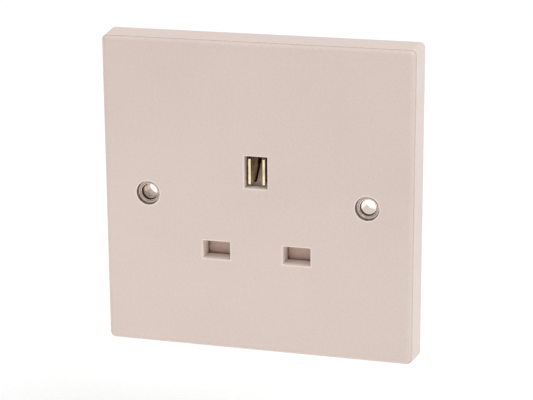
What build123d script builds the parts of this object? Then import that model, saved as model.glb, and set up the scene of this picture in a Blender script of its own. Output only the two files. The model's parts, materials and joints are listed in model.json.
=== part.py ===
from build123d import *
import os

os.makedirs("parts", exist_ok=True)

# A single 13 A socket outlet without a switch, seen from the front: X runs to the right, Z up,
# and Y into the wall. The wall plane is y = 0, so the front face stands at y = -plate_depth.
# Lengths are in millimetres.

# Plate
plate_size = 86.0
plate_depth = 9.3
skirt_front_size = 85.0
ledge_behind_face = 1.3
ledge_width = 0.3
corner_radius = 1.5
face_edge_radius = 1.2
front_wall = 2.2
skirt_wall = 1.9
rib_thickness = 1.2
rib_height = 2.6

# Pin positions and apertures
line_pin_x = 22.23 / 2
line_pin_z = -14.6
earth_pin_z = line_pin_z + 22.23
line_aperture_width = 7.5
line_aperture_height = 4.9
earth_aperture_width = 6.3
earth_aperture_height = 8.7
hole_edge_chamfer = 0.2
chimney_wall = 1.4
chimney_rear = -4.5
earth_rim_rear = -6.7

# Fixing holes and their eyelets
fixing_x = 60.3 / 2
counterbore_radius = 3.3
counterbore_depth = 1.2
eyelet_bore_radius = 2.05
eyelet_wall = 0.25
eyelet_seat_radius = 2.35
eyelet_flange_radius = 2.65
eyelet_flange_height = 0.25
eyelet_roll_depth = 0.3
eyelet_curl_radius = 3.3
fixing_boss_radius = 4.6
strap_front = -2.5
strap_rear = -1.7

# Shutter, at rest with its blades behind the two lower apertures
shutter_travel = 6.0
shutter_front = -4.0
shutter_rear = -2.0
blade_reach = 16.4
blade_top = -11.6
blade_bottom = -17.9
stem_half_width = 4.5
stem_top = 3.6
ramp_half_width = 1.3
ramp_top = 9.3
ramp_rear = 2.4
ramp_toe = 0.4
ramp_foot = -3.5
foot_half_width = 3.0
foot_front = -5.4
foot_height = 3.0
peg_radius = 0.9
peg_length = 1.5

# Spring under the shutter
spring_y = -3.6
spring_radius = 1.5
spring_wire_radius = 0.2
spring_turns = 4
shelf_top = -29.5
shelf_thickness = 1.5

# Moulded base behind the plate
base_front = -1.7
base_half_width = 24.0
base_bottom = -31.0
base_top = 27.0
base_rear = 12.6
tower_rear = 16.4
base_wall = 1.6
compartment_rear = 11.0
ear_radius = 3.4
ear_rear = 0.6
ear_places = [(-27.4, -25.0), (27.4, -25.0), (0, 30.2)]

# Terminals: brass blocks with a wire tunnel along Z and a clamping screw along Y
block_front = 1.5
tunnel_y = 5.2
tunnel_radius = 2.2
wire_entry_half_width = 2.5
line_block_width = 8.6
line_block_bottom = -29.3
line_block_top = -21.9
line_block_rear = 9.2
earth_block_width = 18.0
earth_block_bottom = 16.5
earth_block_top = 24.9
earth_block_rear = 9.8
earth_screw_x = 4.6
screw_radius = 1.75
screw_fit = 0.05
screw_head_radius = 2.9
screw_head_height = 1.8
screw_backed_off = 3.3
screw_tip_y = 7.7
screw_slot_width = 0.8
screw_slot_depth = 0.9
bay_half_width = 4.6

# Contacts folded from brass strip
strip = 0.7
line_contact_width = 7.0
line_contact_front = -1.2
line_contact_rear = 9.55
line_leaf_bend = 3.5
earth_contact_height = 7.0
earth_contact_front = -8.4
earth_contact_rear = 14.2
earth_leaf_bend = -1.4
pinch_offset = 1.95
leg_offset = 2.9
clip_thickness = 0.4
clip_band = 2.2
clip_rear = 2.9
clip_reach = 3.8
clip_bend = 0.3

# Earth strap, its rivet and the screws that hold the base
strap_width = 5.0
strap_bar_z = 20.7
strap_ring_radius = 4.2
rivet_radius = 1.5
rivet_head_radius = 2.4
rivet_head_height = 0.8
rivet_rear = 4.6
base_screw_radius = 1.5
base_screw_head_radius = 2.7
base_screw_head_height = 1.7
base_screw_tip = -6.2


def wall_plane(y):
    """A sketch plane parallel to the wall: its own X and Y are the object's X and Z."""
    return Plane.XZ.offset(-y)


def middle(span):
    return (span[0] + span[1]) / 2


def block(x_span, y_span, z_span, mode=Mode.ADD):
    """A box between two values on each axis, joined to or cut from the piece in hand."""
    with Locations((middle(x_span), middle(y_span), middle(z_span))):
        Box(x_span[1] - x_span[0], y_span[1] - y_span[0], z_span[1] - z_span[0], mode=mode)


def around(centre, half):
    return (centre - half, centre + half)


def post(x, z, radius, y_span, mode=Mode.ADD):
    """A cylinder along Y, between two depths."""
    with Locations(Location((x, middle(y_span), z), (90, 0, 0))):
        Cylinder(radius, y_span[1] - y_span[0], mode=mode)


def upright(x, y, radius, z_span, mode=Mode.ADD):
    """A cylinder along Z, between two heights."""
    with Locations((x, y, middle(z_span))):
        Cylinder(radius, z_span[1] - z_span[0], mode=mode)


# Front plate: a drafted skirt, a slightly smaller raised face with a rounded edge, and the
# apertures, bosses, guides and ribs of one moulding
face_y = -plate_depth
ledge_y = face_y + ledge_behind_face
wall_inside_y = face_y + front_wall
root_y = wall_inside_y - 0.3
face_size = skirt_front_size - 2 * ledge_width
cavity_size = plate_size - 2 * skirt_wall

with BuildPart() as front_plate:
    with BuildSketch(wall_plane(0)):
        RectangleRounded(plate_size, plate_size, corner_radius)
    with BuildSketch(wall_plane(ledge_y)):
        RectangleRounded(skirt_front_size, skirt_front_size, corner_radius)
    loft()
    with BuildSketch(wall_plane(ledge_y)):
        RectangleRounded(face_size, face_size, corner_radius - ledge_width / 2)
    extrude(amount=ledge_behind_face)
    fillet(front_plate.faces().sort_by(Axis.Y)[0].edges(), face_edge_radius)
    with BuildSketch(wall_plane(0)):
        Rectangle(cavity_size, cavity_size)
    extrude(amount=plate_depth - front_wall, taper=1.5, mode=Mode.SUBTRACT)
    # apertures' walls reach back to the shutter
    for side in (-1, 1):
        with BuildSketch(wall_plane(chimney_rear)):
            with Locations((side * line_pin_x, line_pin_z)):
                Rectangle(
                    line_aperture_width + 2 * chimney_wall,
                    line_aperture_height + 2 * chimney_wall,
                )
        extrude(amount=chimney_rear - root_y)
    with BuildSketch(wall_plane(earth_rim_rear)):
        with Locations((0, earth_pin_z)):
            Rectangle(earth_aperture_width + 3.2, earth_aperture_height + 3.2)
    extrude(amount=earth_rim_rear - root_y)
    # bosses for the eyelets and for the base's screws
    for side in (-1, 1):
        post(side * fixing_x, 0, fixing_boss_radius, (root_y, strap_front))
    for x, z in ear_places:
        post(x, z, 3.0, (root_y, base_front))
    # guides on both sides of the shutter's stem
    for side in (-1, 1):
        block(around(side * 5.4, 0.6), (root_y, shutter_rear - 0.1), (-9.6, 1.2))
    # stiffening ribs on the back of the face
    for side in (-1, 1):
        rib_depth = (root_y, wall_inside_y + rib_height)
        outer = cavity_size / 2
        block(around(side * 36.9, 4.5), rib_depth, around(0, rib_thickness / 2))
        block(around(side * fixing_x, rib_thickness / 2), rib_depth, (-outer, outer))
        block((-fixing_x, fixing_x), rib_depth, around(side * 37.0 - 0.6, rib_thickness / 2))
    # pin apertures
    with BuildSketch(wall_plane(chimney_rear + 0.5)):
        with Locations((-line_pin_x, line_pin_z), (line_pin_x, line_pin_z)):
            Rectangle(line_aperture_width, line_aperture_height)
        with Locations((0, earth_pin_z)):
            Rectangle(earth_aperture_width, earth_aperture_height)
    extrude(amount=plate_depth, mode=Mode.SUBTRACT)
    face = front_plate.faces().filter_by(Axis.Y).sort_by(Axis.Y)[0]
    chamfer([edge for wire in face.inner_wires() for edge in wire.edges()], hole_edge_chamfer)
    # fixing holes and pilot holes
    for side in (-1, 1):
        post(side * fixing_x, 0, counterbore_radius, (face_y - 1, face_y + counterbore_depth),
             Mode.SUBTRACT)
        post(side * fixing_x, 0, eyelet_seat_radius, (face_y - 1, 0), Mode.SUBTRACT)
    for x, z in ear_places:
        post(x, z, base_screw_radius + screw_fit, (base_screw_tip - 0.3, 0), Mode.SUBTRACT)
front_plate.part.label = "front_plate"
export_step(front_plate.part, "parts/front_plate.step")


# Shutter: an inverted T whose blades close the lower apertures, and a ramp that the earth pin
# pushes down between the earth contact's leaves
stem_centre_z = (stem_top + blade_bottom) / 2
ramp_toe_z = ramp_top - (ramp_rear - 0.8 - (shutter_front - ramp_toe))

with BuildPart() as shutter:
    with BuildSketch(wall_plane(shutter_rear)):
        with Locations((0, (blade_top + blade_bottom) / 2)):
            RectangleRounded(2 * blade_reach, blade_top - blade_bottom, 0.6)
        with Locations((0, stem_centre_z)):
            RectangleRounded(2 * stem_half_width, stem_top - blade_bottom, 0.6)
    extrude(amount=shutter_rear - shutter_front)
    with BuildSketch(Plane.YZ.offset(-ramp_half_width)):
        with BuildLine():
            Polyline(
                (shutter_front, ramp_toe_z + ramp_toe),
                (ramp_rear - 0.8, ramp_top),
                (ramp_rear, ramp_top),
                (ramp_rear, 0.5),
                (shutter_rear - 0.5, ramp_foot),
                (shutter_front, ramp_foot),
                close=True,
            )
        make_face()
    extrude(amount=2 * ramp_half_width)
    block(around(0, foot_half_width), (foot_front, shutter_rear),
          (blade_bottom, blade_bottom + foot_height))
    upright(0, spring_y, peg_radius, (blade_bottom - peg_length, blade_bottom + 1))
    # shallow troughs behind the blades save material
    for side in (-1, 1):
        block(around(side * line_pin_x, 3.6), (shutter_rear - 0.7, shutter_rear + 1),
              (blade_bottom + 1.2, blade_top - 1.2), Mode.SUBTRACT)
shutter.part.label = "shutter"
export_step(shutter.part, "parts/shutter.step")


# Compression spring between the base's shelf and the shutter
spring_length = blade_bottom - shelf_top
spring_height = spring_length - 2 * spring_wire_radius

with BuildPart() as shutter_spring:
    with BuildLine():
        Helix(
            pitch=spring_height / spring_turns,
            height=spring_height,
            radius=spring_radius,
            center=(0, spring_y, shelf_top + spring_wire_radius),
        )
    with BuildSketch(Plane.XZ.offset(-spring_y)):
        with Locations((spring_radius, shelf_top + spring_wire_radius)):
            RegularPolygon(spring_wire_radius, 4)
    sweep(is_frenet=True)
shutter_spring.part.label = "shutter_spring"
export_step(shutter_spring.part, "parts/shutter_spring.step")


# Base: a stepped housing moulded in one piece, with compartments open to the plate and
# terminal bays open to the rear
with BuildPart() as socket_base:
    with BuildSketch(wall_plane(base_rear)):
        with Locations((0, (base_top + base_bottom) / 2)):
            RectangleRounded(2 * base_half_width, base_top - base_bottom, 3.0)
    extrude(amount=base_rear - base_front)
    # raised blocks round the terminal bays and over the earth contact
    with BuildSketch(wall_plane(tower_rear)):
        with Locations((0, -25.6)):
            RectangleRounded(2 * (line_pin_x + bay_half_width + base_wall), 10.8, 1.2)
        with Locations((0, 9.45)):
            RectangleRounded(2 * (9.3 + base_wall), 35.1, 1.2)
    extrude(amount=tower_rear - base_rear + 1)
    for x, z in ear_places:
        post(x, z, ear_radius, (base_front, ear_rear))
        if z < 0:
            block((min(x, 0.8 * x), max(x, 0.8 * x)), (base_front, ear_rear), around(z, ear_radius))
        else:
            block(around(x, ear_radius), (base_front, ear_rear), (base_top - 2, z))
    # contact compartments
    for side in (-1, 1):
        block(around(side * line_pin_x, bay_half_width), (base_front - 1, compartment_rear),
              (line_block_top + 0.1, -8.5), Mode.SUBTRACT)
        block(around(side * line_pin_x, bay_half_width), (block_front, tower_rear + 1),
              (line_block_bottom - 0.1, line_block_top + 0.1), Mode.SUBTRACT)
        # square wire entries in line with the tunnels
        entry_depth = around(tunnel_y, wire_entry_half_width)
        block(around(side * line_pin_x, wire_entry_half_width), entry_depth,
              (base_bottom - 1, -29.0), Mode.SUBTRACT)
        block(around(side * earth_screw_x, wire_entry_half_width), entry_depth,
              (24.5, base_top + 1), Mode.SUBTRACT)
    block((-4.2, 4.2), (base_front - 1, 15.0), (-6.5, 14.3), Mode.SUBTRACT)
    block((-2.6, 2.6), (13.6, 15.0), (14.0, 16.6), Mode.SUBTRACT)
    # notch that lets the foot of the ramp run down
    notch_bottom = ramp_foot - shutter_travel - 0.1
    block((-2.2, 2.2), (base_front - 1, 3.4), (notch_bottom, -6.0), Mode.SUBTRACT)
    block((-9.3, 9.3), (block_front, tower_rear + 1), (15.7, 25.2), Mode.SUBTRACT)
    # shelf and peg that carry the spring
    block((-3.2, 3.2), (foot_front, base_front + 1.6), (shelf_top - shelf_thickness, shelf_top))
    upright(0, spring_y, peg_radius, (shelf_top - 1, shelf_top + peg_length))
    # clearance holes for the rivet and the screws
    post(0, strap_bar_z, rivet_radius + screw_fit, (base_front - 1, 3), Mode.SUBTRACT)
    for x, z in ear_places:
        post(x, z, base_screw_radius + 0.1, (base_front - 1, ear_rear + 1), Mode.SUBTRACT)
socket_base.part.label = "socket_base"
export_step(socket_base.part, "parts/socket_base.step")


def leaf_path(front, bend, rear):
    """One leaf of a contact as (depth, offset) points: a flat grip, a bend outwards, then a leg."""
    return [
        (front, pinch_offset),
        (bend, pinch_offset),
        (bend + 2.4, leg_offset),
        (rear, leg_offset),
    ]


# Live and neutral contacts: two leaves grip the pin above and below, and a tail reaches down
# over the terminal
def line_contact(side):
    leaf = leaf_path(line_contact_front, line_leaf_bend, line_contact_rear)
    upper = [(y, line_pin_z + offset) for y, offset in leaf]
    lower = [(y, line_pin_z - offset) for y, offset in leaf]
    edge_x = side * line_pin_x - line_contact_width / 2
    with BuildPart() as contact:
        with BuildSketch(Plane.YZ.offset(edge_x)):
            with BuildLine():
                FilletPolyline(*upper, (line_contact_rear, line_block_bottom), radius=0.5)
            trace(line_width=strip)
            with BuildLine():
                FilletPolyline(*lower, radius=0.5)
            trace(line_width=strip)
        extrude(amount=line_contact_width)
        post(side * line_pin_x, -25.6, screw_radius + 0.35, (8, 11), Mode.SUBTRACT)
    return contact.part


for side, name in ((1, "live_contact"), (-1, "neutral_contact")):
    contact_part = line_contact(side)
    contact_part.label = name
    export_step(contact_part, f"parts/{name}.step")


# Earth contact: its leaves stand to the left and right of the pin, close behind the face
earth_bottom = earth_pin_z - earth_contact_height / 2
earth_side = leaf_path(earth_contact_front, earth_leaf_bend, earth_contact_rear)

with BuildPart() as earth_contact:
    with BuildSketch(Plane.XY.offset(earth_bottom)):
        with BuildLine():
            right = [(offset, y) for y, offset in earth_side]
            left = [(-offset, y) for y, offset in reversed(earth_side)]
            FilletPolyline(*right, *left, radius=0.5)
        trace(line_width=strip)
    extrude(amount=earth_contact_height)
    tail_rear = earth_contact_rear + strip / 2
    block((-2.2, 2.2), (tail_rear - strip, tail_rear), (earth_bottom + 5, earth_block_bottom))
    block((-2.2, 2.2), (block_front, tail_rear), (earth_block_bottom - strip, earth_block_bottom))
earth_contact.part.label = "earth_contact"
export_step(earth_contact.part, "parts/earth_contact.step")


# Steel clips that press the leaves together: each a flat band bent round three sides
def line_clip(side):
    leaf_outside = pinch_offset + strip / 2
    with BuildPart() as clip:
        with BuildSketch(wall_plane(clip_rear)):
            with BuildLine():
                FilletPolyline(
                    (-side * 2.6, leaf_outside + clip_thickness / 2),
                    (side * clip_reach, leaf_outside + clip_thickness / 2),
                    (side * clip_reach, -leaf_outside - clip_thickness / 2),
                    (-side * 2.6, -leaf_outside - clip_thickness / 2),
                    radius=clip_bend,
                )
            trace(line_width=clip_thickness)
        extrude(amount=clip_band)
    return Pos(side * line_pin_x, 0, line_pin_z) * clip.part


for side, name in ((1, "live_contact_clip"), (-1, "neutral_contact_clip")):
    clip_part = line_clip(side)
    clip_part.label = name
    export_step(clip_part, f"parts/{name}.step")

clip_side = pinch_offset + (strip + clip_thickness) / 2
clip_top = earth_pin_z + clip_reach

with BuildPart() as earth_contact_clip:
    with BuildSketch(wall_plane(earth_leaf_bend - 0.6)):
        with BuildLine():
            FilletPolyline(
                (-clip_side, earth_pin_z - 2.6),
                (-clip_side, clip_top),
                (clip_side, clip_top),
                (clip_side, earth_pin_z - 2.6),
                radius=clip_bend,
            )
        trace(line_width=clip_thickness)
    extrude(amount=clip_band)
earth_contact_clip.part.label = "earth_contact_clip"
export_step(earth_contact_clip.part, "parts/earth_contact_clip.step")


# Terminal blocks
with BuildPart() as live_terminal:
    block(around(line_pin_x, line_block_width / 2), (block_front, line_block_rear),
          (line_block_bottom, line_block_top))
    chamfer(live_terminal.edges().filter_by(Axis.Y), 0.4)
    upright(line_pin_x, tunnel_y, tunnel_radius, (line_block_bottom - 1, line_block_top + 1),
            Mode.SUBTRACT)
    post(line_pin_x, -25.6, screw_radius + screw_fit, (tunnel_y, 11), Mode.SUBTRACT)
live_terminal.part.label = "live_terminal"
export_step(live_terminal.part, "parts/live_terminal.step")

with BuildPart() as neutral_terminal:
    add(live_terminal.part.mirror(Plane.YZ))
neutral_terminal.part.label = "neutral_terminal"
export_step(neutral_terminal.part, "parts/neutral_terminal.step")

with BuildPart() as earth_terminal:
    block(around(0, earth_block_width / 2), (block_front, earth_block_rear),
          (earth_block_bottom, earth_block_top))
    chamfer(earth_terminal.edges().filter_by(Axis.Y), 0.4)
    for side in (-1, 1):
        upright(side * earth_screw_x, tunnel_y, tunnel_radius,
                (earth_block_bottom - 1, earth_block_top + 1), Mode.SUBTRACT)
        post(side * earth_screw_x, strap_bar_z, screw_radius + screw_fit, (tunnel_y, 11),
             Mode.SUBTRACT)
    post(0, strap_bar_z, rivet_radius + screw_fit, (block_front - 1, rivet_rear + 0.1),
         Mode.SUBTRACT)
earth_terminal.part.label = "earth_terminal"
export_step(earth_terminal.part, "parts/earth_terminal.step")


# Terminal screws, backed off so that each wire tunnel is clear
def terminal_screw(x, z, seat_y):
    head_y = seat_y + screw_backed_off
    head_top = head_y + screw_head_height
    with BuildPart() as screw:
        post(x, z, screw_radius, (screw_tip_y, head_y))
        post(x, z, screw_head_radius, (head_y, head_top))
        block(around(x, screw_head_radius + 1), (head_top - screw_slot_depth, head_top + 1),
              around(z, screw_slot_width / 2), Mode.SUBTRACT)
    return screw.part


terminal_screws = {
    "live_terminal_screw": (line_pin_x, -25.6, line_block_rear + strip),
    "neutral_terminal_screw": (-line_pin_x, -25.6, line_block_rear + strip),
    "earth_terminal_screw_left": (-earth_screw_x, strap_bar_z, earth_block_rear),
    "earth_terminal_screw_right": (earth_screw_x, strap_bar_z, earth_block_rear),
}
for name, place in terminal_screws.items():
    screw_part = terminal_screw(*place)
    screw_part.label = name
    export_step(screw_part, f"parts/{name}.step")


# Eyelets: a rolled flange on the counterbore's floor and a tube curled over the strap
def eyelet(side):
    seat_y = face_y + counterbore_depth
    tube = eyelet_bore_radius + eyelet_wall
    with BuildPart() as ring:
        with BuildSketch(Plane.XY):
            with BuildLine():
                Polyline(
                    (eyelet_bore_radius, seat_y + eyelet_roll_depth),
                    (eyelet_bore_radius, strap_rear + 2 * eyelet_wall),
                    (eyelet_curl_radius, strap_rear + eyelet_wall),
                    (eyelet_curl_radius, strap_rear),
                    (tube, strap_rear),
                    (tube, seat_y),
                    (eyelet_flange_radius, seat_y),
                    (eyelet_flange_radius - 0.1, seat_y - eyelet_flange_height),
                    (tube, seat_y - eyelet_flange_height),
                    close=True,
                )
            make_face()
        revolve(axis=Axis.Y)
    return Pos(side * fixing_x, 0, 0) * ring.part


for side, name in ((-1, "left_eyelet"), (1, "right_eyelet")):
    eyelet_part = eyelet(side)
    eyelet_part.label = name
    export_step(eyelet_part, f"parts/{name}.step")


# Earth strap: one flat stamping that joins both eyelets to the earth terminal
with BuildPart() as earth_strap:
    with BuildSketch(wall_plane(strap_rear)):
        with Locations((0, strap_bar_z)):
            Rectangle(2 * fixing_x + strap_width, strap_width)
        for side in (-1, 1):
            with Locations((side * fixing_x, strap_bar_z / 2)):
                Rectangle(strap_width, strap_bar_z)
            with Locations((side * fixing_x, 0)):
                Circle(strap_ring_radius)
        with Locations((-fixing_x, 0), (fixing_x, 0)):
            Circle(eyelet_seat_radius, mode=Mode.SUBTRACT)
        with Locations((0, strap_bar_z)):
            Circle(rivet_radius + screw_fit, mode=Mode.SUBTRACT)
    extrude(amount=strap_rear - strap_front)
earth_strap.part.label = "earth_strap"
export_step(earth_strap.part, "parts/earth_strap.step")


# Rivet that ties the strap through the base to the earth terminal
with BuildPart() as earth_rivet:
    post(0, strap_bar_z, rivet_radius, (strap_front, rivet_rear))
    post(0, strap_bar_z, rivet_head_radius, (strap_front - rivet_head_height, strap_front))
earth_rivet.part.label = "earth_rivet"
export_step(earth_rivet.part, "parts/earth_rivet.step")


# Screws through the base's ears into the plate's bosses, all alike
with BuildPart() as base_screws:
    for x, z in ear_places:
        post(x, z, base_screw_radius, (base_screw_tip, ear_rear))
        post(x, z, base_screw_head_radius, (ear_rear, ear_rear + base_screw_head_height))
    for x, z in ear_places:
        head_top = ear_rear + base_screw_head_height
        for width, height in ((3.0, 0.6), (0.6, 3.0)):
            block(around(x, width / 2), (head_top - 0.9, head_top + 1), around(z, height / 2),
                  Mode.SUBTRACT)
base_screws.part.label = "base_screws"
export_step(base_screws.part, "parts/base_screws.step")
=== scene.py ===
import json
from math import pi, radians

import bmesh
import bpy
import numpy as np
from mathutils import Matrix, Vector

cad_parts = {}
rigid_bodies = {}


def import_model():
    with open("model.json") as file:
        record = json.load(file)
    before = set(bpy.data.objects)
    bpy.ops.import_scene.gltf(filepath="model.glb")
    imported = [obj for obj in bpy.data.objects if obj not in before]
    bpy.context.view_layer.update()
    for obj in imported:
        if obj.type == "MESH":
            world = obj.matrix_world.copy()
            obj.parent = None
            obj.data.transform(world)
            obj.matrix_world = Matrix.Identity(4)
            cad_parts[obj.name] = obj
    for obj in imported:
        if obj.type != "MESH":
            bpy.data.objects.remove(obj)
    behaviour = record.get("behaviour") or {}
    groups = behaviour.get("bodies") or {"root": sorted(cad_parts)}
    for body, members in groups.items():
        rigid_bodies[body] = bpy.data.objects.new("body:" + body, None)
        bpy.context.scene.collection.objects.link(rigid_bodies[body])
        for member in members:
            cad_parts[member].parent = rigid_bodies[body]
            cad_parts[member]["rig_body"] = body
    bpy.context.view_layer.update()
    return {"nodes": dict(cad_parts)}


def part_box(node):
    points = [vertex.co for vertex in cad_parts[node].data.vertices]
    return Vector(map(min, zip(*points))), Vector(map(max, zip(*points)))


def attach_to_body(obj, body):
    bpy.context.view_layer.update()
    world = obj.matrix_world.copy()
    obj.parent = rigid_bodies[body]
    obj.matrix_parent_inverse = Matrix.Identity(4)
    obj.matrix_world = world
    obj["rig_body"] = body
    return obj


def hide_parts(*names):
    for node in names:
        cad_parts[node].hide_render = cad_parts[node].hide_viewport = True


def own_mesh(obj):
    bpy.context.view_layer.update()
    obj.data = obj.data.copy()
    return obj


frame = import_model()

MM = 0.001


def centre(node_name):
    """The middle of a solid's box."""
    low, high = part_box(node_name)
    return [(a + b) / 2 for a, b in zip(low, high)]


# Places on the socket, in metres, worked out from the frame
plate_low, plate_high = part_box("front_plate")
plate_edge = plate_high[0]
face_y = plate_low[1]
hole_x = centre("right_eyelet")[0]
eyelet_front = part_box("left_eyelet")[0][1]
spring_low, spring_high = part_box("shutter_spring")
spring_y = centre("shutter_spring")[1]
spring_length = spring_high[2] - spring_low[2]

# Sizes that the solids' boxes don't give
counterbore_radius = 3.3 * MM
spring_wire = 0.2 * MM
spring_turns = 7.5
spring_end_turns = 1.1
screw_head_height = 1.8 * MM
shank_radius = 1.75 * MM
thread_core = 1.45 * MM
thread_crest = 1.74 * MM
thread_pitch = 0.7 * MM
tower_height = 3.8 * MM
base_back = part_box("socket_base")[1][1] - tower_height
mark_width = 0.5 * MM
mark_height = 0.22 * MM
floor_drop = 40 * MM

# Limits used on every piece taken over from the solids
weld_gap = 0.002 * MM
flat_angle = radians(0.8)
sharp_angle = radians(32)


# Node trees

def new_group(name, inputs, outputs):
    """A shader group with named sockets: inputs are (name, kind, value), outputs are (name, kind)."""
    tree = bpy.data.node_groups.new(name, "ShaderNodeTree")
    for label, kind, value in inputs:
        socket = tree.interface.new_socket(name=label, in_out="INPUT", socket_type="NodeSocket" + kind)
        socket.default_value = value
    for label, kind in outputs:
        tree.interface.new_socket(name=label, in_out="OUTPUT", socket_type="NodeSocket" + kind)
    return tree, tree.nodes.new("NodeGroupInput").outputs, tree.nodes.new("NodeGroupOutput").inputs


def node(tree, kind, inputs=None, **settings):
    """A shader node with its settings; inputs maps a socket to a value or to another node's output."""
    made = tree.nodes.new("ShaderNode" + kind)
    for key, value in settings.items():
        setattr(made, key, value)
    for key, value in (inputs or {}).items():
        if isinstance(value, bpy.types.NodeSocket):
            tree.links.new(value, made.inputs[key])
        else:
            made.inputs[key].default_value = value
    return made


def object_point(tree):
    """The shaded point in the socket's own coordinates, which every piece shares."""
    return node(tree, "TexCoord").outputs["Object"]


def parts_of(tree, vector):
    """The X, Y and Z of a vector."""
    return node(tree, "SeparateXYZ", {0: vector}).outputs


def noise(tree, vector, scale, detail=3.0, roughness=0.5):
    """Noise between 0 and 1: scale is its waves in a metre, detail the number of finer layers."""
    return node(tree, "TexNoise", {"Vector": vector, "Scale": scale, "Detail": detail,
                                   "Roughness": roughness}).outputs["Fac"]


def spread(tree, value, low, high, to_low=0.0, to_high=1.0):
    """Maps a value from one range onto another, held at both ends."""
    return node(tree, "MapRange", {"Value": value, "From Min": low, "From Max": high,
                                   "To Min": to_low, "To Max": to_high}).outputs["Result"]


def blend(tree, share, first, second):
    """The colour that lies the given share of the way from the first to the second. Of the node's
    many sockets, 6 and 7 take the colours and output 2 gives the blend."""
    mixed = node(tree, "Mix", {0: share, 6: first, 7: second}, data_type="RGBA")
    return mixed.outputs[2]


def maths(tree, operation, first, second=0.0):
    """One step of arithmetic on one or two values."""
    return node(tree, "Math", {0: first, 1: second}, operation=operation).outputs[0]


# Shared effects

def edge_light_group():
    """A mask for painted highlights, 1 on a piece's edges: one less the agreement of the true and the
    rounded normal, times a gain."""
    tree, given, out = new_group("edge_light", [("Width", "Float", 0.0004), ("Gain", "Float", 6.0)],
                                 [("Mask", "Float")])
    rounded_normal = node(tree, "Bevel", {"Radius": given["Width"]}, samples=8).outputs["Normal"]
    true_normal = node(tree, "NewGeometry").outputs["Normal"]
    agree = node(tree, "VectorMath", {0: rounded_normal, 1: true_normal}, operation="DOT_PRODUCT")
    lost = maths(tree, "SUBTRACT", 1.0, agree.outputs["Value"])
    gained = maths(tree, "MULTIPLY", lost, given["Gain"])
    tree.links.new(spread(tree, gained, 0.0, 1.0), out["Mask"])
    return tree


def corner_shade_group():
    """A mask for painted shade, growing from 0 on open surfaces to 1 in tight corners, where little
    light reaches.
    """
    tree, given, out = new_group("corner_shade", [("Reach", "Float", 0.0004), ("Gain", "Float", 1.5)],
                                 [("Mask", "Float")])
    open_share = node(tree, "AmbientOcclusion", {"Distance": given["Reach"]}, samples=8).outputs["AO"]
    hidden = maths(tree, "MULTIPLY", maths(tree, "SUBTRACT", 1.0, open_share), given["Gain"])
    tree.links.new(spread(tree, hidden, 0.2, 0.9), out["Mask"])
    return tree


def moulded_group():
    """Moulded plastic: slow colour mottling, flow haze in the gloss and a fine spark texture."""
    tree, given, out = new_group(
        "moulded_skin",
        [("Colour", "Color", (0.6, 0.6, 0.6, 1)), ("Shade", "Color", (0.5, 0.5, 0.5, 1)),
         ("Rough", "Float", 0.4), ("Haze", "Float", 0.08), ("Grain", "Float", 3500.0),
         ("Depth", "Float", 0.00001)],
        [("Colour", "Color"), ("Roughness", "Float"), ("Normal", "Vector")])
    place = object_point(tree)
    slow = maths(tree, "MULTIPLY", noise(tree, place, scale=38.0), 0.3)
    mottle = maths(tree, "MULTIPLY", noise(tree, place, scale=1500.0, detail=4.0, roughness=0.7), 0.7)
    share = spread(tree, maths(tree, "ADD", slow, mottle), 0.38, 0.66)
    tree.links.new(blend(tree, share, given["Colour"], given["Shade"]), out["Colour"])
    flow = spread(tree, noise(tree, place, scale=120.0, detail=4.0), 0.3, 0.7, -1.0, 1.0)
    haze = maths(tree, "MULTIPLY", flow, given["Haze"])
    tree.links.new(maths(tree, "ADD", given["Rough"], haze), out["Roughness"])
    grain = noise(tree, place, given["Grain"], detail=2.0, roughness=0.7)
    bump = node(tree, "Bump", {"Strength": 1.0, "Distance": given["Depth"], "Height": grain})
    tree.links.new(bump.outputs["Normal"], out["Normal"])
    return tree


def metal_group():
    """Rolled or turned metal: noise drawn out along one axis for the lay, and dull tarnish patches."""
    tree, given, out = new_group(
        "worked_metal",
        [("Colour", "Color", (0.8, 0.7, 0.4, 1)), ("Tarnish", "Color", (0.4, 0.3, 0.15, 1)),
         ("Lay", "Vector", (4000.0, 300.0, 4000.0)), ("Rough", "Float", 0.3),
         ("Depth", "Float", 0.000006), ("Amount", "Float", 0.5)],
        [("Colour", "Color"), ("Roughness", "Float"), ("Normal", "Vector")])
    place = object_point(tree)
    drawn = node(tree, "VectorMath", {0: place, 1: given["Lay"]}, operation="MULTIPLY").outputs[0]
    lay = noise(tree, drawn, scale=1.0, roughness=0.6)
    patches = spread(tree, noise(tree, place, scale=420.0, detail=5.0, roughness=0.6), 0.45, 0.75)
    share = maths(tree, "MULTIPLY", patches, given["Amount"])
    tree.links.new(blend(tree, share, given["Colour"], given["Tarnish"]), out["Colour"])
    dull = maths(tree, "ADD", given["Rough"], maths(tree, "MULTIPLY", share, 0.25))
    streak = maths(tree, "ADD", dull, spread(tree, lay, 0.3, 0.7, -0.08, 0.08))
    tree.links.new(streak, out["Roughness"])
    bump = node(tree, "Bump", {"Strength": 1.0, "Distance": given["Depth"], "Height": lay})
    tree.links.new(bump.outputs["Normal"], out["Normal"])
    return tree


EDGE_LIGHT = edge_light_group()
CORNER_SHADE = corner_shade_group()
MOULDED = moulded_group()
METAL = metal_group()


def group_node(tree, group, values):
    """A shared effect placed in a tree, with values for its inputs."""
    placed = tree.nodes.new("ShaderNodeGroup")
    placed.node_tree = group
    for key, value in values.items():
        placed.inputs[key].default_value = value
    return placed


def edge_mask(tree, width, gain):
    return group_node(tree, EDGE_LIGHT, {"Width": width, "Gain": gain}).outputs["Mask"]


def corner_mask(tree, reach, most):
    """The shade of corners within the given reach, up to the given strength."""
    full = group_node(tree, CORNER_SHADE, {"Reach": reach, "Gain": 1.9}).outputs["Mask"]
    return maths(tree, "MULTIPLY", full, most)


# Materials

def new_material(name):
    material = bpy.data.materials.new(name)
    material.use_nodes = True
    tree = material.node_tree
    return material, tree, tree.nodes["Principled BSDF"]


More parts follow.
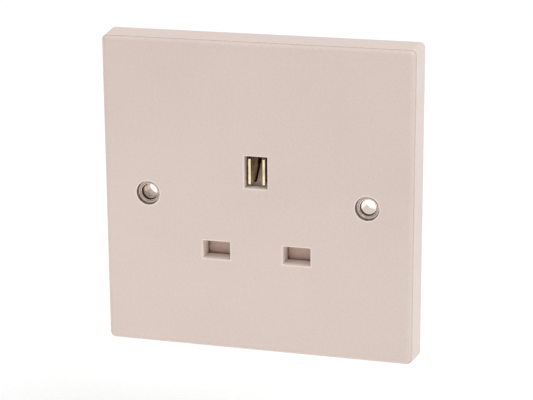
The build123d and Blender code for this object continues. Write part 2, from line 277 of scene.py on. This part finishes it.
def rgb(red, green, blue):
    """A colour as it is seen, in steps of 255, made linear."""
    seen = np.array([red, green, blue]) / 255
    linear = np.where(seen > 0.04045, ((seen + 0.055) / 1.055) ** 2.4, seen / 12.92)
    return (*[float(c) for c in linear], 1.0)


# Dark colours of painted shade: for plastic corners and counterbores, for metal corners, and for the
# eyelets' roll.
plastic_painted_shade = rgb(84, 50, 36)
metal_painted_shade = rgb(58, 44, 34)
roll_painted_shade = rgb(50, 32, 24)


def dress(tree, shader, colour, roughness, normal):
    """Joins the colour, roughness and normal to the material's shader."""
    tree.links.new(colour, shader.inputs["Base Color"])
    tree.links.new(roughness, shader.inputs["Roughness"])
    tree.links.new(normal, shader.inputs["Normal"])


def moulded_material(name, colour, shade, edge_highlight, rough, haze, grain, depth, reach, corner,
                     pale=None, rings=None):
    """A plastic moulding: a painted highlight on thin rounded edges and painted shade in tight corners
    over the given reach. Two functions may map the tree to a mask: pale, for places brightened with
    painted light, and rings, for places darkened with painted shade."""
    material, tree, shader = new_material(name)
    skin = group_node(tree, MOULDED, {"Colour": colour, "Shade": shade, "Rough": rough,
                                      "Haze": haze, "Grain": grain, "Depth": depth})
    # Painted highlight along thin edges, joined by the pale mask's painted light.
    rim = maths(tree, "MULTIPLY", edge_mask(tree, 0.35 * MM, 12.0), 0.8)
    if pale:
        rim = maths(tree, "MAXIMUM", rim, pale(tree))
    highlighted = blend(tree, rim, skin.outputs["Colour"], edge_highlight)
    # Painted shade: tight corners darkened where little light reaches them, and the counterbores'
    # painted shade rings.
    dark = corner_mask(tree, reach, corner)
    if rings:
        dark = maths(tree, "MAXIMUM", dark, rings(tree))
    dress(tree, shader, blend(tree, dark, highlighted, plastic_painted_shade),
          skin.outputs["Roughness"], skin.outputs["Normal"])
    shader.inputs["IOR"].default_value = 1.5
    return material


def painted_light_inside(tree):
    """A mask of painted light on the plate's inner faces, below the front and within the outer walls,
    and of a painted highlight on the rims round its holes."""
    parts = parts_of(tree, object_point(tree))
    across = maths(tree, "ABSOLUTE", parts["X"])
    outermost = maths(tree, "MAXIMUM", across, maths(tree, "ABSOLUTE", parts["Z"]))
    within = spread(tree, outermost, plate_edge - 4.5 * MM, plate_edge - 4 * MM, 1.0, 0.0)
    below = spread(tree, parts["Y"], face_y + 0.15 * MM, face_y + 0.4 * MM)
    rims = edge_mask(tree, 0.6 * MM, 30.0)
    return maths(tree, "MULTIPLY", within, maths(tree, "MAXIMUM", below, rims))


def painted_light_ramp(tree):
    """A mask of painted light on the shutter's ramp, the part above the plate's middle."""
    height = parts_of(tree, object_point(tree))["Z"]
    return spread(tree, height, 0.0, 2 * MM)


def counterbore_painted_shade(tree):
    """A mask of painted shade in the corners of both counterbores, broken up by noise: the wall below
    the mouth and a narrow ring of the floor, by the distance from the hole's line, sqrt((|x| - hole_x)^2
    + z^2)."""
    place = object_point(tree)
    parts = parts_of(tree, place)
    across = maths(tree, "SUBTRACT", maths(tree, "ABSOLUTE", parts["X"]), hole_x)
    flat = node(tree, "CombineXYZ", {"X": across, "Z": parts["Z"]}).outputs[0]
    radius = node(tree, "VectorMath", {0: flat}, operation="LENGTH").outputs["Value"]
    wall = counterbore_radius
    inside = spread(tree, radius, wall - 0.38 * MM, wall - 0.18 * MM)
    outside = spread(tree, radius, wall + 0.1 * MM, wall + 0.2 * MM, 1.0, 0.0)
    below = spread(tree, parts["Y"], face_y + 0.04 * MM, face_y + 0.2 * MM)
    spotted = spread(tree, noise(tree, place, scale=1500.0), 0.3, 0.6, 0.6, 0.92)
    ring = maths(tree, "MULTIPLY", maths(tree, "MULTIPLY", inside, outside), below)
    return maths(tree, "MULTIPLY", ring, spotted)


def metal_material(name, colour, tarnish, edge_highlight, lay, rough, depth, amount):
    """A worked metal with a painted highlight along its edges and painted shade in its corners."""
    material, tree, shader = new_material(name)
    skin = group_node(tree, METAL, {"Colour": colour, "Tarnish": tarnish, "Lay": lay, "Rough": rough,
                                    "Depth": depth, "Amount": amount})
    # Painted highlight along the edges.
    highlighted = blend(tree, edge_mask(tree, 0.2 * MM, 6.0), skin.outputs["Colour"], edge_highlight)
    # Painted shade in the metal's corners.
    dark = corner_mask(tree, 0.9 * MM, 0.75)
    dress(tree, shader, blend(tree, dark, highlighted, metal_painted_shade),
          skin.outputs["Roughness"], skin.outputs["Normal"])
    shader.inputs["Metallic"].default_value = 1.0
    return material


def eyelet_material(name, colour, tarnish, flange, rough, amount):
    """Rolled tube: a bright flange in front, worked metal behind it, and a painted dark ring between
    two depths, where the flange has turned into the bore: painted shade and dark reflection on the roll."""
    material, tree, shader = new_material(name)
    skin = group_node(tree, METAL, {"Colour": colour, "Tarnish": tarnish, "Lay": (3000.0, 600.0, 3000.0),
                                    "Rough": rough, "Depth": 0.000004, "Amount": amount})
    depth = parts_of(tree, object_point(tree))["Y"]
    ring_start, ring_stop = eyelet_front + 0.55 * MM, eyelet_front + 1.3 * MM
    soft = 0.1 * MM
    start = spread(tree, depth, ring_start - soft, ring_start + soft)
    stop = spread(tree, depth, ring_stop - soft, ring_stop + soft, 1.0, 0.0)
    # The roll's painted shade and dark reflection.
    ring = maths(tree, "MULTIPLY", maths(tree, "MULTIPLY", start, stop), 0.95)
    metal = blend(tree, start, flange, skin.outputs["Colour"])
    dulled = maths(tree, "ADD", skin.outputs["Roughness"], maths(tree, "MULTIPLY", ring, 0.3))
    dress(tree, shader, blend(tree, ring, metal, roll_painted_shade), dulled, skin.outputs["Normal"])
    shader.inputs["Metallic"].default_value = 1.0
    return material


plate_finish = moulded_material(
    "plate_moulding", colour=rgb(219, 202, 194), shade=rgb(211, 194, 185), edge_highlight=rgb(244, 231, 223),
    rough=0.36, haze=0.05, grain=2600.0, depth=0.000016, reach=0.4 * MM, corner=0.2,
    pale=painted_light_inside, rings=counterbore_painted_shade)
shutter_finish = moulded_material(
    "shutter_moulding", colour=rgb(215, 188, 177), shade=rgb(201, 175, 164), edge_highlight=rgb(248, 228, 218),
    rough=0.5, haze=0.06, grain=3000.0, depth=0.00001, reach=1.1 * MM, corner=0.75, pale=painted_light_ramp)
base_finish = moulded_material(
    "base_moulding", colour=rgb(214, 206, 196), shade=rgb(205, 196, 185), edge_highlight=rgb(232, 226, 218),
    rough=0.55, haze=0.08, grain=2600.0, depth=0.00002, reach=0.8 * MM, corner=0.6)
contact_finish = metal_material(
    "contact_brass_strip", colour=rgb(234, 218, 184), tarnish=rgb(156, 138, 116),
    edge_highlight=rgb(254, 246, 208), lay=(500.0, 5000.0, 5000.0), rough=0.3, depth=0.000004, amount=0.5)
terminal_finish = metal_material(
    "terminal_brass_block", colour=rgb(214, 186, 120), tarnish=rgb(140, 112, 66),
    edge_highlight=rgb(240, 218, 160), lay=(5000.0, 5000.0, 400.0), rough=0.32, depth=0.000005, amount=0.4)
# Two copies of one nickel finish: the left one painted darker and the right one painted brighter,
# standing in for the dark and bright reflections in their bores.
eyelet_finishes = {
    "left_eyelet": eyelet_material(
        "nickel_eyelet_painted_dark", colour=rgb(220, 194, 176), tarnish=rgb(96, 70, 56),
        flange=rgb(255, 235, 219), rough=0.22, amount=0.95),
    "right_eyelet": eyelet_material(
        "nickel_eyelet_painted_bright", colour=rgb(255, 240, 228), tarnish=rgb(240, 214, 196),
        flange=rgb(250, 232, 218), rough=0.12, amount=0.3),
}
strap_finish = metal_material(
    "tinned_strap", colour=rgb(206, 204, 196), tarnish=rgb(160, 156, 146),
    edge_highlight=rgb(232, 230, 224), lay=(400.0, 4000.0, 4000.0), rough=0.38, depth=0.000006, amount=0.35)
spring_finish = metal_material(
    "bright_spring_steel", colour=rgb(196, 196, 198), tarnish=rgb(130, 126, 122),
    edge_highlight=rgb(226, 226, 226), lay=(3000.0, 3000.0, 3000.0), rough=0.25, depth=0.000003, amount=0.3)
screw_finish = metal_material(
    "zinc_plated_screw", colour=rgb(214, 212, 200), tarnish=rgb(168, 162, 140),
    edge_highlight=rgb(236, 234, 226), lay=(3000.0, 3000.0, 3000.0), rough=0.3, depth=0.000005, amount=0.4)


# Pieces taken over from the solids

def softened(name, finish, width):
    """A solid as one welded skin: flat faces merged, its sharp edges rounded over the given width."""
    source = frame["nodes"][name]
    shell = bmesh.new()
    shell.from_mesh(source.data)
    bmesh.ops.remove_doubles(shell, verts=shell.verts, dist=weld_gap)
    bmesh.ops.dissolve_limit(shell, angle_limit=flat_angle, verts=shell.verts, edges=shell.edges)
    mesh = bpy.data.meshes.new(name + "_skin")
    shell.to_mesh(mesh)
    shell.free()
    mesh.materials.clear()
    mesh.materials.append(finish)
    mesh.shade_smooth()
    mesh.set_sharp_from_angle(angle=sharp_angle)
    piece = bpy.data.objects.new(name + "_skin", mesh)
    bpy.context.scene.collection.objects.link(piece)
    bevel = piece.modifiers.new("rounded_edges", "BEVEL")
    bevel.width = width
    bevel.segments = 2
    bevel.limit_method = "ANGLE"
    bevel.angle_limit = sharp_angle
    bevel.use_clamp_overlap = True
    flat = piece.modifiers.new("flat_faces_stay_flat", "WEIGHTED_NORMAL")
    flat.weight = 100
    flat.keep_sharp = True
    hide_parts(name)
    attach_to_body(piece, source["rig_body"])
    return piece


# Each solid's material and the width of its rounded edges
finishes = {
    "front_plate": (plate_finish, 0.08 * MM),
    "shutter": (shutter_finish, 0.12 * MM),
    "socket_base": (base_finish, 0.15 * MM),
    "live_contact": (contact_finish, 0.08 * MM),
    "neutral_contact": (contact_finish, 0.08 * MM),
    "earth_contact": (contact_finish, 0.08 * MM),
    "live_contact_clip": (spring_finish, 0.05 * MM),
    "neutral_contact_clip": (spring_finish, 0.05 * MM),
    "earth_contact_clip": (spring_finish, 0.05 * MM),
    "live_terminal": (terminal_finish, 0.1 * MM),
    "neutral_terminal": (terminal_finish, 0.1 * MM),
    "earth_terminal": (terminal_finish, 0.1 * MM),
    "live_terminal_screw": (screw_finish, 0.15 * MM),
    "neutral_terminal_screw": (screw_finish, 0.15 * MM),
    "earth_terminal_screw_left": (screw_finish, 0.15 * MM),
    "earth_terminal_screw_right": (screw_finish, 0.15 * MM),
    "earth_strap": (strap_finish, 0.1 * MM),
    "earth_rivet": (terminal_finish, 0.3 * MM),
    "base_screws": (screw_finish, 0.2 * MM),
}
for name, (finish, width) in finishes.items():
    softened(name, finish, width)


# New pieces

def grid_faces(rows, columns, closed_rows, closed_columns):
    """Quads between neighbours of a rows by columns grid, either way of which may close on itself."""
    row = np.arange(rows if closed_rows else rows - 1)[:, None]
    column = np.arange(columns if closed_columns else columns - 1)[None, :]
    below, after = (row + 1) % rows, (column + 1) % columns
    corners = [row * columns + column, row * columns + after,
               below * columns + after, below * columns + column]
    return np.stack(corners, axis=-1).reshape(-1, 4)


def surface(name, points, finish, closed_rows=False, closed_columns=True, sharp=40):
    """A smooth surface from a grid of points. A tube that is open at its ends gets flat caps, and a
    closed skin whose enclosed volume, the sum of corner . (corner x corner) / 6, is negative is
    turned so that its faces look outwards."""
    rows, columns = points.shape[:2]
    flat = points.reshape(-1, 3)
    quads = grid_faces(rows, columns, closed_rows, closed_columns)
    faces = quads.tolist()
    if closed_columns:
        first, second, third, fourth = (flat[quads[:, i]] for i in range(4))
        volume = np.sum(first * np.cross(second, third)) + np.sum(first * np.cross(third, fourth))
        if not closed_rows:
            for ends, sign in ((flat[:columns], -1), (flat[-columns:], 1)):
                pairs = np.cross(ends - ends[0], np.roll(ends, -1, 0) - ends[0])
                volume += sign * np.sum(ends[0] * pairs)
            first, last = list(range(columns)), list(range((rows - 1) * columns, rows * columns))
            faces += [first[::-1], last]
        if volume < 0:
            faces = [face[::-1] for face in faces]
    mesh = bpy.data.meshes.new(name)
    mesh.from_pydata(flat.tolist(), [], faces)
    mesh.materials.append(finish)
    mesh.shade_smooth()
    mesh.set_sharp_from_angle(angle=radians(sharp))
    piece = bpy.data.objects.new(name, mesh)
    bpy.context.scene.collection.objects.link(piece)
    return piece


def rounded(corners, steps=5):
    """A closed outline with its corners rounded: each corner is (across, along, radius), and between
    its two tangent points runs the quadratic curve (1-t)^2 start + 2t(1-t) corner + t^2 end."""
    given = np.array(corners, dtype=float)
    spot, radius = given[:, :2], given[:, 2:3]
    before, after = np.roll(spot, 1, 0) - spot, np.roll(spot, -1, 0) - spot
    before /= np.linalg.norm(before, axis=1, keepdims=True)
    after /= np.linalg.norm(after, axis=1, keepdims=True)
    start, end = spot + radius * before, spot + radius * after
    t = np.linspace(0, 1, steps)[None, :, None]
    curve = (1 - t) ** 2 * start[:, None] + 2 * t * (1 - t) * spot[:, None] + t ** 2 * end[:, None]
    return curve.reshape(-1, 2)


def turned(name, outline, x, z, finish, columns=72):
    """A closed outline of (radius, depth) turned about a line along Y:
    x + radius cos(angle), depth, z + radius sin(angle)."""
    angle = np.linspace(0, 2 * pi, columns, endpoint=False)[None, :]
    radius, depth = outline[:, :1], outline[:, 1:]
    points = np.stack([x + radius * np.cos(angle), depth + 0 * angle, z + radius * np.sin(angle)], -1)
    return surface(name, points, finish, closed_rows=True)


def attach(piece, body, slot_name, *nodes):
    """Gives a new piece its body, and puts it in place of any solids named. The slot name is not used.
    """
    if nodes:
        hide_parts(*nodes)
    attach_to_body(piece, body)


def rolled_eyelet(node_name):
    """An eyelet rolled from tube: a flange with a rounded bead on the counterbore's floor, a roll down
    into the bore, the thin tube, and a curl behind the strap. The outline is in millimetres."""
    low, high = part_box(node_name)
    front, rear = low[1] / MM, high[1] / MM
    bore, wall = 2.05, 0.25
    tube, flange, curl = bore + wall, bore + 0.6, bore + 1.25
    seat, strap_back = front + wall, rear - wall
    corners = [
        (flange, seat, 0.04), (flange, front, 0.04), (bore + 0.53, front + 0.02, 0.03),
        (bore + 0.36, front + 0.6, 0.05), (bore + 0.03, front + 0.68, 0.04), (bore, front + 0.95, 0.1),
        (bore, rear - 0.3, 0.25), (bore + 0.5, rear, 0.25), (curl, rear - 0.05, 0.15),
        (curl, strap_back, 0.04), (tube, strap_back, 0.04), (tube, seat, 0.04),
    ]
    x, _, z = centre(node_name)
    return turned(node_name + "_rolled", rounded(corners) * MM, x, z, eyelet_finishes[node_name])


for name in ("left_eyelet", "right_eyelet"):
    attach(rolled_eyelet(name), "socket", "eyelet_metal", name)


def wire_along(path, outward, radius, columns):
    """A tube round a path: path + radius (cos(angle) out + sin(angle) beside), where out is square to
    the path and beside is square to both."""
    along = np.gradient(path, axis=0)
    along /= np.linalg.norm(along, axis=1, keepdims=True)
    out = outward - along * np.sum(outward * along, axis=1, keepdims=True)
    out /= np.linalg.norm(out, axis=1, keepdims=True)
    beside = np.cross(along, out)
    angle = np.linspace(0, 2 * pi, columns, endpoint=False)[None, :, None]
    return path[:, None] + radius * (np.cos(angle) * out[:, None] + np.sin(angle) * beside[:, None])


def closed_spring():
    """A compression spring: a circle of wire carried along a helix. Over each closed end the height
    rises by the wire's thickness a turn, and over the turns between them evenly by what is left."""
    steps = 480
    coil = (spring_high[0] - spring_low[0]) / 2 - spring_wire
    share = np.linspace(0, 1, steps)
    end_share = spring_end_turns / spring_turns
    ends = np.minimum(share / end_share, 1) + np.clip((share - 1 + end_share) / end_share, 0, 1)
    between = np.clip((share - end_share) / (1 - 2 * end_share), 0, 1)
    lift = 2 * spring_wire * spring_end_turns
    span = spring_length - 2 * spring_wire
    height = spring_low[2] + spring_wire + lift * ends + (span - 2 * lift) * between
    angle = 2 * pi * spring_turns * share
    path = np.stack([coil * np.cos(angle), spring_y + coil * np.sin(angle), height], -1)
    outward = np.stack([np.cos(angle), np.sin(angle), np.zeros(steps)], -1)
    return surface("coil_spring", wire_along(path, outward, spring_wire, columns=12), spring_finish)


spring = closed_spring()
attach(spring, "socket", "spring_steel", "shutter_spring")
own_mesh(spring)


def screw_thread(node_name, start, end):
    """The ridge of a screw thread: a low triangle carried along a helix about a line along Y. Its
    crest sinks into the core at both ends, as 1 - (1 - distance from the end)^2 over half a turn."""
    x, _, z = centre(node_name)
    turns = (end - start) / thread_pitch
    points_per_turn = 30
    share = np.linspace(0, 1, int(turns * points_per_turn))
    angle = 2 * pi * turns * share
    from_end = np.clip(np.minimum(share, 1 - share) * turns * 2, 0, 1)
    rise = 1 - (1 - from_end) ** 2
    top = thread_core - 0.03 * MM + (thread_crest - thread_core) * rise
    foot = np.full_like(top, thread_core - 0.08 * MM)
    radius = np.stack([foot, top, top, foot], -1)
    foot_half, crest_half = 0.42 * thread_pitch, 0.06 * thread_pitch
    shift = np.array([-foot_half, -crest_half, crest_half, foot_half])
    depth = (start + (end - start) * share)[:, None] + shift
    points = np.stack([x + radius * np.cos(angle)[:, None], depth,
                       z + radius * np.sin(angle)[:, None]], -1)
    return surface(node_name + "_thread", points, screw_finish, sharp=25)


def narrow_shank(piece, x, z, below):
    """Draws a screw's shank in to the core of its thread: each point of it keeps its angle and depth."""
    vertices = piece.data.vertices
    points = np.empty(len(vertices) * 3)
    vertices.foreach_get("co", points)
    points = points.reshape(-1, 3)
    from_line = points - (x, 0, z)
    radius = np.hypot(from_line[:, 0], from_line[:, 2])
    outside = (radius >= 0.5 * shank_radius) & (radius < shank_radius + 0.02 * MM)
    shank = (points[:, 1] < below) & outside
    scale = np.ones(len(radius))
    scale[shank] = thread_core / radius[shank]
    points[:, 0] = x + from_line[:, 0] * scale
    points[:, 2] = z + from_line[:, 2] * scale
    vertices.foreach_set("co", points.reshape(-1))
    piece.data.update()


for name in ("live_terminal_screw", "neutral_terminal_screw", "earth_terminal_screw_left",
             "earth_terminal_screw_right"):
    low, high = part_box(name)
    x, _, z = centre(name)
    head_y = high[1] - screw_head_height
    narrow_shank(bpy.data.objects[name + "_skin"], x, z, head_y + 0.01 * MM)
    thread = screw_thread(name, low[1] + 0.35 * MM, head_y - 0.25 * MM)
    attach(thread, name, "screw_metal")


def raised_stroke(name, start, end):
    """A rounded rib on the back of the base: a stadium about a line from start to end, narrowing to
    width/2 cos(turn) while it rises to height sin(turn)."""
    start, end = np.array(start) * MM, np.array(end) * MM
    run = end - start
    tilt = np.arctan2(run[1], run[0])
    end_points = 9
    angle = np.linspace(-pi / 2, pi / 2, end_points)
    across = np.concatenate([angle + tilt, angle + tilt + pi])
    ends = np.concatenate([np.repeat(end[None], end_points, 0), np.repeat(start[None], end_points, 0)])
    almost_flat = 1.45
    turn = np.concatenate([[0], np.linspace(0, almost_flat, 6)])[:, None]
    half = mark_width / 2 * np.cos(turn)
    rise = mark_height * np.sin(turn)
    rise[0] = -0.05 * MM
    points = np.stack([ends[:, 0] + half * np.cos(across), base_back + rise + 0 * across,
                       ends[:, 1] + half * np.sin(across)], -1)
    attach(surface(name, points, base_finish), "socket", "base_plastic")


# Wiring marks on the back of the base: each has its middle and its lines of points, in millimetres
# as they are read from behind
marks = {
    "live_mark": ((11.1, -14.2), [[(-0.8, 1.6), (-0.8, -1.6), (0.9, -1.6)]]),
    "neutral_mark": ((-11.1, -14.2), [[(-1, -1.6), (-1, 1.6), (1, -1.6), (1, 1.6)]]),
    "earth_mark": ((-17.4, 20.7), [[(0, 1.8), (0, 0)], [(-1.5, 0), (1.5, 0)],
                                   [(-0.95, -0.8), (0.95, -0.8)], [(-0.4, -1.6), (0.4, -1.6)]]),
}
for mark, ((x, z), lines) in marks.items():
    strokes = [pair for line in lines for pair in zip(line, line[1:])]
    for number, (start, end) in enumerate(strokes):
        raised_stroke(f"{mark}_{number}", (x - start[0], z + start[1]), (x - end[0], z + end[1]))


def ejector_ring(name, x, z):
    """The faint round witness that an ejector pin leaves: a low rounded ridge, turned about its axis."""
    outer, inner, top, foot = 1.62, 1.48, 0.07, -0.06
    corners = [(outer, foot, 0.02), (outer, top, 0.05), (inner, top, 0.05), (inner, foot, 0.02)]
    outline = rounded(corners, steps=4) * MM + (0, base_back)
    ring = turned(name, outline, x * MM, z * MM, base_finish, columns=48)
    attach(ring, "socket", "base_plastic")


ejector_places = [(x, z) for z in (-16.5, 4.0) for x in (20.6, -20.6)]
for number, (x, z) in enumerate(ejector_places):
    ejector_ring(f"ejector_mark_{number}", x, z)


# Floor, lights and camera

def floor_finish():
    """Pale matt paper with a fine fibre."""
    material, tree, shader = new_material("pale_paper")
    fibre = spread(tree, noise(tree, object_point(tree), scale=900.0), 0.3, 0.7)
    tone = blend(tree, fibre, (0.93, 0.93, 0.93, 1), (0.96, 0.96, 0.96, 1))
    tree.links.new(tone, shader.inputs["Base Color"])
    shader.inputs["Roughness"].default_value = 0.9
    shader.inputs["Specular IOR Level"].default_value = 0.1
    return material


def studio_floor(level):
    """A level pale floor under the plate, wide enough to fill the view from any side."""
    reach = np.linspace(-4.0, 4.0, 9)
    x, y = np.meshgrid(reach, reach)
    z = np.full_like(x, level)
    floor = surface("studio_floor", np.stack([x, y, z], -1), floor_finish(), closed_columns=False)


def strip_light(name, place, aim, width, height, power):
    """A long low panel of light, which the camera itself doesn't see."""
    lamp = bpy.data.lights.new(name, "AREA")
    lamp.shape = "RECTANGLE"
    lamp.size = width
    lamp.size_y = height
    lamp.energy = power
    made = bpy.data.objects.new(name, lamp)
    made.location = place
    made.rotation_euler = (Vector(aim) - Vector(place)).to_track_quat("-Z", "Y").to_euler()
    made.visible_camera = False
    bpy.context.scene.collection.objects.link(made)


def sun_light(name, direction, strength, softness):
    """Light from far off in the given direction, over a disc that spans softness degrees."""
    lamp = bpy.data.lights.new(name, "SUN")
    lamp.energy = strength
    lamp.angle = radians(softness)
    made = bpy.data.objects.new(name, lamp)
    made.rotation_euler = Vector(direction).to_track_quat("Z", "Y").to_euler()
    bpy.context.scene.collection.objects.link(made)


studio_floor(plate_low[2] - floor_drop)
sun_light("key_light", direction=(0.45, -0.04, 0.89), strength=1.5, softness=50)
strip_light("low_fill", place=(-0.06, -0.17, -0.07), aim=(-0.02, 0, -0.03), width=0.35,
            height=0.03, power=0.038)

world = bpy.data.worlds.new("white_studio")
world.use_nodes = True
background = world.node_tree.nodes["Background"]
background.inputs["Color"].default_value = (1, 1, 1, 1)
background.inputs["Strength"].default_value = 0.68
bpy.context.scene.world = world
bpy.context.scene.view_settings.view_transform = "Standard"

# The camera stands to the right of the plate and above it. Its place, aim and slight roll were
# fitted to the plate's outline and its holes in the photograph.
camera_place = Vector((136.8, -475.0, 140.4)) * MM
camera_aim = Vector((3.1, -9.3, 0.45)) * MM
camera_roll = radians(-0.346)
camera_data = bpy.data.cameras.new("photo_camera")
camera_data.lens = 129.04
camera_data.sensor_width = 36.0
camera_data.clip_start = 0.01
camera_data.clip_end = 30.0
camera_data.shift_x = -0.0011
camera = bpy.data.objects.new("photo_camera", camera_data)
turn = (camera_aim - camera_place).to_track_quat("-Z", "Y").to_matrix()
turn = turn @ Matrix.Rotation(camera_roll, 3, "Z")
camera.matrix_world = Matrix.Translation(camera_place) @ turn.to_4x4()
bpy.context.scene.collection.objects.link(camera)
bpy.context.scene.camera = camera
